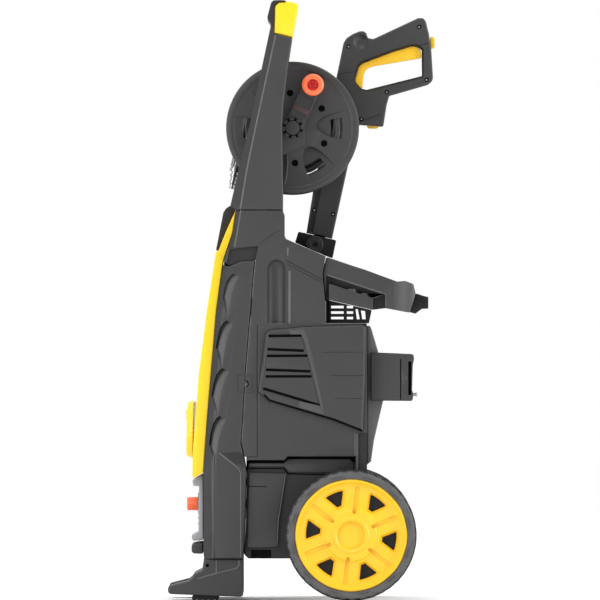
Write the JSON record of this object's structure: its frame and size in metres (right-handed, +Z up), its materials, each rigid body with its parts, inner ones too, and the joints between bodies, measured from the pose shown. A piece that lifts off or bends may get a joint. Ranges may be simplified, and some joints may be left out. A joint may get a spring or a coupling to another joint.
{
  "type": "pressure washer",
  "caption": "Upright electric pressure washer on two wheels with a hose reel between its handle posts, a spray gun in a rear holder and a control knob on its front panel.",
  "frame": {"origin": "on the ground, under the middle of the machine's outer box", "axes": "+Z up, +X to the rear where the wheels are, -X to the front with the control knob, Y across the machine with the crank side at -Y"},
  "size_m": [0.4, 0.34, 0.895],
  "materials": {
    "charcoal": "fine-grained moulded plastic, charcoal",
    "black": "moulded plastic, near black",
    "light_grey": "smooth moulded plastic, mid grey",
    "yellow": "satin moulded plastic, warm yellow",
    "orange": "satin moulded plastic, orange-red",
    "rubber": "matt rubber",
    "tyre": "hard moulded tread, grey-black",
    "hose": "smooth black hose cover",
    "chrome": "polished plated steel",
    "brass": "machined brass",
    "steel": "zinc-plated steel",
    "aluminium": "cast aluminium"
  },
  "bodies": {
    "frame": {"front_shell": "charcoal", "spine_shell": "charcoal", "front_panel": "yellow", "front_cap": "charcoal", "connection_panel": "light_grey", "lower_lip": "charcoal", "water_inlet": "brass", "switch_box": "black", "foot": "charcoal", "foot_pad_near": "rubber", "foot_pad_far": "rubber", "handle_frame": "charcoal", "grip": "yellow", "reel_bracket": "black", "reel_spindle": "brass", "supply_pipe": "hose", "gun_holder": "black", "holder_boss": "charcoal", "tray": "charcoal", "tray_end": "black", "guard_near": "black", "guard_far": "black", "motor_housing": "charcoal", "side_cover_near": "charcoal", "side_cover_far": "charcoal", "rear_cover": "light_grey", "cord_holder": "charcoal", "holder_pin": "steel", "cable_gland": "rubber", "chassis": "black", "motor": "aluminium", "pump_block": "aluminium", "start_capacitor": "light_grey", "pressure_pipe": "hose", "axle": "steel"},
    "near_wheel": {"wheel_rim_near": "yellow", "tyre_near": "tyre"},
    "far_wheel": {"wheel_rim_far": "yellow", "tyre_far": "tyre"},
    "reel": {"reel_near_flange": "charcoal", "reel_far_flange": "charcoal", "reel_drum": "black", "hose_coil": "hose", "crank_arm": "charcoal", "hub_cap": "black", "hose_tail": "hose", "hose_plug": "chrome"},
    "crank_knob": {"crank_knob": "orange"},
    "rotary_knob": {"rotary_knob": "yellow"},
    "inlet_cap": {"inlet_cap": "orange"},
    "fan": {"motor_fan": "black"},
    "gun": {"gun_shell_near": "charcoal", "gun_shell_far": "charcoal", "lance_barrel": "black", "gun_valve": "brass"},
    "trigger": {"trigger": "yellow"},
    "trigger_lock": {"trigger_lock": "yellow"},
    "hose_clip": {"hose_clip": "yellow"}
  },
  "joints": [
    {"name": "near_wheel_spin", "type": "hinge", "parent": "frame", "child": "near_wheel", "pos_m": [0.0732, -0.151, 0.0975], "axis": [0, 1, 0], "continuous": true},
    {"name": "far_wheel_spin", "type": "hinge", "parent": "frame", "child": "far_wheel", "pos_m": [0.0732, 0.151, 0.0975], "axis": [0, 1, 0], "continuous": true},
    {"name": "reel_spin", "type": "hinge", "parent": "frame", "child": "reel", "pos_m": [-0.0141, 0, 0.705], "axis": [0, 1, 0], "continuous": true},
    {"name": "crank_knob_spin", "type": "hinge", "parent": "reel", "child": "crank_knob", "pos_m": [0.01624, -0.07, 0.76919], "axis": [0, 1, 0], "continuous": true},
    {"name": "knob_turn", "type": "hinge", "parent": "frame", "child": "rotary_knob", "pos_m": [-0.1621, 0, 0.254], "axis": [-0.9997, 0, 0.0262], "range_deg": [0, 90]},
    {"name": "inlet_cap_pull", "type": "slide", "parent": "frame", "child": "inlet_cap", "axis": [-1, 0, 0], "range_m": [0, 0.02]},
    {"name": "fan_spin", "type": "hinge", "parent": "frame", "child": "fan", "pos_m": [0.012, 0, 0.35], "axis": [0, 0, 1], "continuous": true},
    {"name": "gun_lift", "type": "slide", "parent": "frame", "child": "gun", "axis": [0.19, 0, 0.9818], "range_m": [0, 0.06]},
    {"name": "trigger_pull", "type": "hinge", "parent": "gun", "child": "trigger", "pos_m": [0.0855, 0.075, 0.7715], "axis": [0, -1, 0], "range_deg": [0, 5], "stiffness_Nm_per_rad": 2, "springref_deg": -8.59},
    {"name": "trigger_lock_push", "type": "slide", "parent": "gun", "child": "trigger_lock", "axis": [-1, 0, 0], "range_m": [0, 0.003], "stiffness_N_per_m": 300, "springref_m": -0.002},
    {"name": "hose_clip_press", "type": "slide", "parent": "gun", "child": "hose_clip", "axis": [0, 0, 1], "range_m": [0, 0.003], "stiffness_N_per_m": 500, "springref_m": -0.002}
  ]
}
